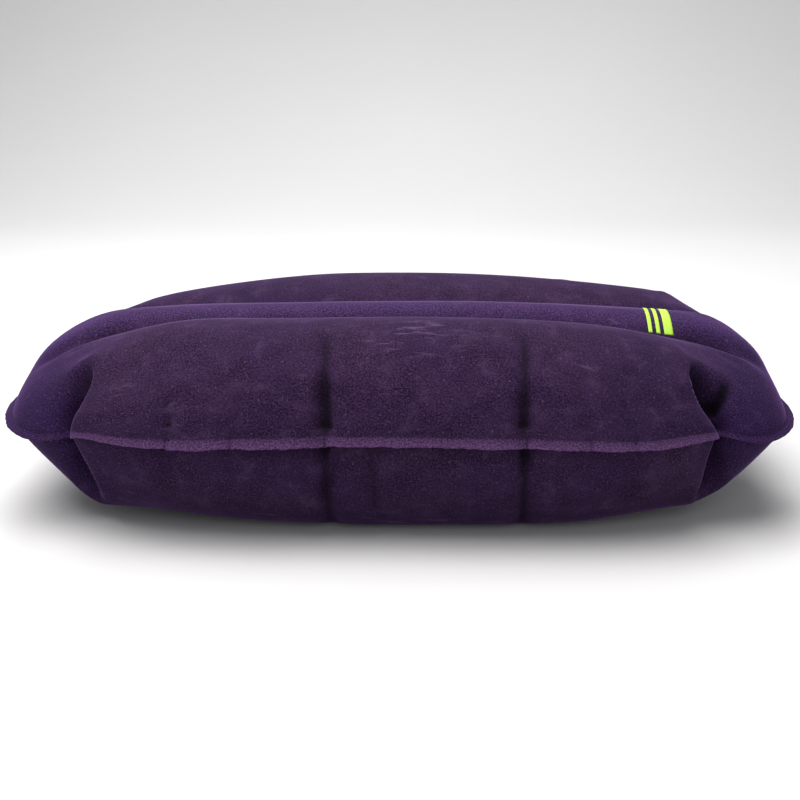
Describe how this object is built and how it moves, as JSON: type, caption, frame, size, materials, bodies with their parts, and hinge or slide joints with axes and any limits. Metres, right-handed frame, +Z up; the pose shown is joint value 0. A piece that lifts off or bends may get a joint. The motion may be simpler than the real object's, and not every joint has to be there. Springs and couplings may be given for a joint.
{
  "type": "inflatable wobble cushion",
  "caption": "Flocked inflatable balance cushion: two skins welded round a flat rim, lengthwise air chambers tied by inner webs, and a recessed push-in valve with a tethered plug.",
  "frame": {"origin": "on the floor under the centre of the cushion", "axes": "+Z up, +X along the cushion's length, +Y to the rear, where the valve is"},
  "size_m": [0.492, 0.2636, 0.1211],
  "materials": {
    "violet_flock": "deep violet velvet flock on PVC film",
    "inner_film": "plain PVC film",
    "soft_pvc": "soft moulded PVC, satin"
  },
  "bodies": {
    "cushion": {"upper_skin": "violet_flock", "lower_skin": "violet_flock", "front_web": "inner_film", "rear_web": "inner_film", "valve_ring": "soft_pvc", "valve_membrane": "soft_pvc"},
    "valve_stem": {"valve_stem": "soft_pvc"},
    "valve_plug": {"valve_plug": "soft_pvc", "plug_strap": "soft_pvc"},
    "valve_flap": {"valve_flap": "soft_pvc"}
  },
  "joints": [
    {"name": "valve_pull_out", "type": "slide", "parent": "cushion", "child": "valve_stem", "axis": [0, 0.866, 0.5], "range_m": [0, 0.012], "deforming": ["valve_membrane"]},
    {"name": "plug_pull", "type": "slide", "parent": "valve_stem", "child": "valve_plug", "axis": [0, 0.866, 0.5], "range_m": [0, 0.01], "deforming": ["plug_strap"]},
    {"name": "flap_swing", "type": "hinge", "parent": "valve_stem", "child": "valve_flap", "pos_m": [0.1003, 0.10361, 0.0866], "axis": [0, 0.5, -0.866], "range_deg": [0, 50], "stiffness_Nm_per_rad": 0.00002}
  ]
}
